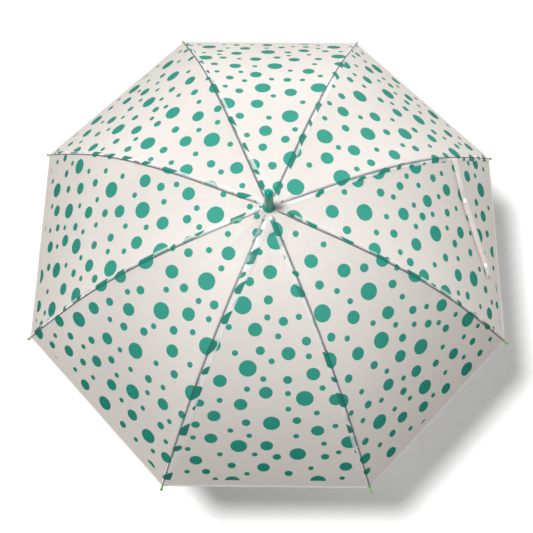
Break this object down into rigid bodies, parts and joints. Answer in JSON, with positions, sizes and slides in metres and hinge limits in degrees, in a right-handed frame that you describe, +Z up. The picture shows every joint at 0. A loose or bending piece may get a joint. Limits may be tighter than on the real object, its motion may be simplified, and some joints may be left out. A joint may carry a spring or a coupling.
{
  "type": "dome umbrella",
  "caption": "Open dome umbrella: dotted frosted film canopy on hinged ribs, with stretchers, sliding runner, steel shaft, flared ferrule and crook handle.",
  "frame": {"origin": "middle of the handle's straight grip, on the shaft's axis, where a hand holds the umbrella", "axes": "+Z up the shaft to the ferrule; +X towards the crook's free arm and the panel with the closing strap"},
  "size_m": [0.7752, 0.7752, 0.6323],
  "materials": {
    "film": "frosted translucent film with printed teal dots",
    "strap_film": "clear glossy film",
    "snap_plastic": "glossy moulded plastic",
    "teal_plastic": "glossy moulded plastic",
    "green_plastic": "glossy moulded plastic",
    "grey_steel": "dark grey coated steel",
    "bright_steel": "plated steel"
  },
  "bodies": {
    "frame": {"shaft": "bright_steel", "ferrule": "teal_plastic", "crown": "teal_plastic", "crown_wire": "bright_steel", "stop_pin": "bright_steel", "handle": "teal_plastic", "handle_collar": "bright_steel"},
    "runner": {"runner": "teal_plastic", "runner_wire": "bright_steel"},
    "top_catch": {"top_catch": "bright_steel"},
    "bottom_catch": {"bottom_catch": "bright_steel"},
    "rib_1": {"rib_1": "grey_steel", "rib_tip_1": "green_plastic", "rib_clip_1": "grey_steel", "canopy_gore_1": "film", "strap": "strap_film", "strap_socket": "snap_plastic", "strap_stud": "snap_plastic"},
    "stretcher_1": {"stretcher_1": "grey_steel"},
    "rib_2": {"rib_2": "grey_steel", "rib_tip_2": "green_plastic", "rib_clip_2": "grey_steel", "canopy_gore_2": "film"},
    "stretcher_2": {"stretcher_2": "grey_steel"},
    "rib_3": {"rib_3": "grey_steel", "rib_tip_3": "green_plastic", "rib_clip_3": "grey_steel", "canopy_gore_3": "film"},
    "stretcher_3": {"stretcher_3": "grey_steel"},
    "rib_4": {"rib_4": "grey_steel", "rib_tip_4": "green_plastic", "rib_clip_4": "grey_steel", "canopy_gore_4": "film"},
    "stretcher_4": {"stretcher_4": "grey_steel"},
    "rib_5": {"rib_5": "grey_steel", "rib_tip_5": "green_plastic", "rib_clip_5": "grey_steel", "canopy_gore_5": "film"},
    "stretcher_5": {"stretcher_5": "grey_steel"},
    "rib_6": {"rib_6": "grey_steel", "rib_tip_6": "green_plastic", "rib_clip_6": "grey_steel", "canopy_gore_6": "film"},
    "stretcher_6": {"stretcher_6": "grey_steel"},
    "rib_7": {"rib_7": "grey_steel", "rib_tip_7": "green_plastic", "rib_clip_7": "grey_steel", "canopy_gore_7": "film"},
    "stretcher_7": {"stretcher_7": "grey_steel"},
    "rib_8": {"rib_8": "grey_steel", "rib_tip_8": "green_plastic", "rib_clip_8": "grey_steel", "canopy_gore_8": "film"},
    "stretcher_8": {"stretcher_8": "grey_steel"}
  },
  "joints": [
    {"name": "fold", "type": "slide", "parent": "frame", "child": "runner", "axis": [0, 0, -1], "range_m": [0, 0.25859], "deforming": ["top_catch", "bottom_catch"]},
    {"name": "rib_1_hinge", "type": "hinge", "parent": "frame", "child": "rib_1", "pos_m": [0.00831, 0.00344, 0.485], "axis": [-0.3827, 0.9239, 0], "range_deg": [0, 60.5], "deforming": ["canopy_gore_1", "strap"]},
    {"name": "stretcher_1_hinge", "type": "hinge", "parent": "rib_1", "child": "stretcher_1", "pos_m": [0.18783, 0.0778, 0.44526], "axis": [-0.3827, 0.9239, 0], "range_deg": [-107.56, 0]},
    {"name": "rib_2_hinge", "type": "hinge", "parent": "frame", "child": "rib_2", "pos_m": [0.00344, 0.00831, 0.485], "axis": [-0.9239, 0.3827, 0], "range_deg": [0, 60.5], "deforming": ["canopy_gore_2"]},
    {"name": "stretcher_2_hinge", "type": "hinge", "parent": "rib_2", "child": "stretcher_2", "pos_m": [0.0778, 0.18783, 0.44526], "axis": [-0.9239, 0.3827, 0], "range_deg": [-107.56, 0]},
    {"name": "rib_3_hinge", "type": "hinge", "parent": "frame", "child": "rib_3", "pos_m": [-0.00344, 0.00831, 0.485], "axis": [-0.9239, -0.3827, 0], "range_deg": [0, 60.5], "deforming": ["canopy_gore_3"]},
    {"name": "stretcher_3_hinge", "type": "hinge", "parent": "rib_3", "child": "stretcher_3", "pos_m": [-0.0778, 0.18783, 0.44526], "axis": [-0.9239, -0.3827, 0], "range_deg": [-107.56, 0]},
    {"name": "rib_4_hinge", "type": "hinge", "parent": "frame", "child": "rib_4", "pos_m": [-0.00831, 0.00344, 0.485], "axis": [-0.3827, -0.9239, 0], "range_deg": [0, 60.5], "deforming": ["canopy_gore_4"]},
    {"name": "stretcher_4_hinge", "type": "hinge", "parent": "rib_4", "child": "stretcher_4", "pos_m": [-0.18783, 0.0778, 0.44526], "axis": [-0.3827, -0.9239, 0], "range_deg": [-107.56, 0]},
    {"name": "rib_5_hinge", "type": "hinge", "parent": "frame", "child": "rib_5", "pos_m": [-0.00831, -0.00344, 0.485], "axis": [0.3827, -0.9239, 0], "range_deg": [0, 60.5], "deforming": ["canopy_gore_5"]},
    {"name": "stretcher_5_hinge", "type": "hinge", "parent": "rib_5", "child": "stretcher_5", "pos_m": [-0.18783, -0.0778, 0.44526], "axis": [0.3827, -0.9239, 0], "range_deg": [-107.56, 0]},
    {"name": "rib_6_hinge", "type": "hinge", "parent": "frame", "child": "rib_6", "pos_m": [-0.00344, -0.00831, 0.485], "axis": [0.9239, -0.3827, 0], "range_deg": [0, 60.5], "deforming": ["canopy_gore_6"]},
    {"name": "stretcher_6_hinge", "type": "hinge", "parent": "rib_6", "child": "stretcher_6", "pos_m": [-0.0778, -0.18783, 0.44526], "axis": [0.9239, -0.3827, 0], "range_deg": [-107.56, 0]},
    {"name": "rib_7_hinge", "type": "hinge", "parent": "frame", "child": "rib_7", "pos_m": [0.00344, -0.00831, 0.485], "axis": [0.9239, 0.3827, 0], "range_deg": [0, 60.5], "deforming": ["canopy_gore_7"]},
    {"name": "stretcher_7_hinge", "type": "hinge", "parent": "rib_7", "child": "stretcher_7", "pos_m": [0.0778, -0.18783, 0.44526], "axis": [0.9239, 0.3827, 0], "range_deg": [-107.56, 0]},
    {"name": "rib_8_hinge", "type": "hinge", "parent": "frame", "child": "rib_8", "pos_m": [0.00831, -0.00344, 0.485], "axis": [0.3827, 0.9239, 0], "range_deg": [0, 60.5], "deforming": ["canopy_gore_8"]},
    {"name": "stretcher_8_hinge", "type": "hinge", "parent": "rib_8", "child": "stretcher_8", "pos_m": [0.18783, -0.0778, 0.44526], "axis": [0.3827, 0.9239, 0], "range_deg": [-107.56, 0]},
    {"name": "top_catch_press", "type": "hinge", "parent": "frame", "child": "top_catch", "pos_m": [0.0025, 0, 0.29826], "axis": [0, -1, 0], "range_deg": [0, 14], "stiffness_Nm_per_rad": 0.3},
    {"name": "bottom_catch_press", "type": "hinge", "parent": "frame", "child": "bottom_catch", "pos_m": [0.0025, 0, 0.05667], "axis": [0, -1, 0], "range_deg": [0, 14], "stiffness_Nm_per_rad": 0.3}
  ],
  "couplings": [
    {"joint": "rib_1_hinge", "follows": "fold", "rad_per_m": 4.0497},
    {"joint": "stretcher_1_hinge", "follows": "fold", "rad_per_m": -7.2258},
    {"joint": "rib_2_hinge", "follows": "fold", "rad_per_m": 4.0497},
    {"joint": "stretcher_2_hinge", "follows": "fold", "rad_per_m": -7.2258},
    {"joint": "rib_3_hinge", "follows": "fold", "rad_per_m": 4.0497},
    {"joint": "stretcher_3_hinge", "follows": "fold", "rad_per_m": -7.2258},
    {"joint": "rib_4_hinge", "follows": "fold", "rad_per_m": 4.0497},
    {"joint": "stretcher_4_hinge", "follows": "fold", "rad_per_m": -7.2258},
    {"joint": "rib_5_hinge", "follows": "fold", "rad_per_m": 4.0497},
    {"joint": "stretcher_5_hinge", "follows": "fold", "rad_per_m": -7.2258},
    {"joint": "rib_6_hinge", "follows": "fold", "rad_per_m": 4.0497},
    {"joint": "stretcher_6_hinge", "follows": "fold", "rad_per_m": -7.2258},
    {"joint": "rib_7_hinge", "follows": "fold", "rad_per_m": 4.0497},
    {"joint": "stretcher_7_hinge", "follows": "fold", "rad_per_m": -7.2258},
    {"joint": "rib_8_hinge", "follows": "fold", "rad_per_m": 4.0497},
    {"joint": "stretcher_8_hinge", "follows": "fold", "rad_per_m": -7.2258}
  ]
}
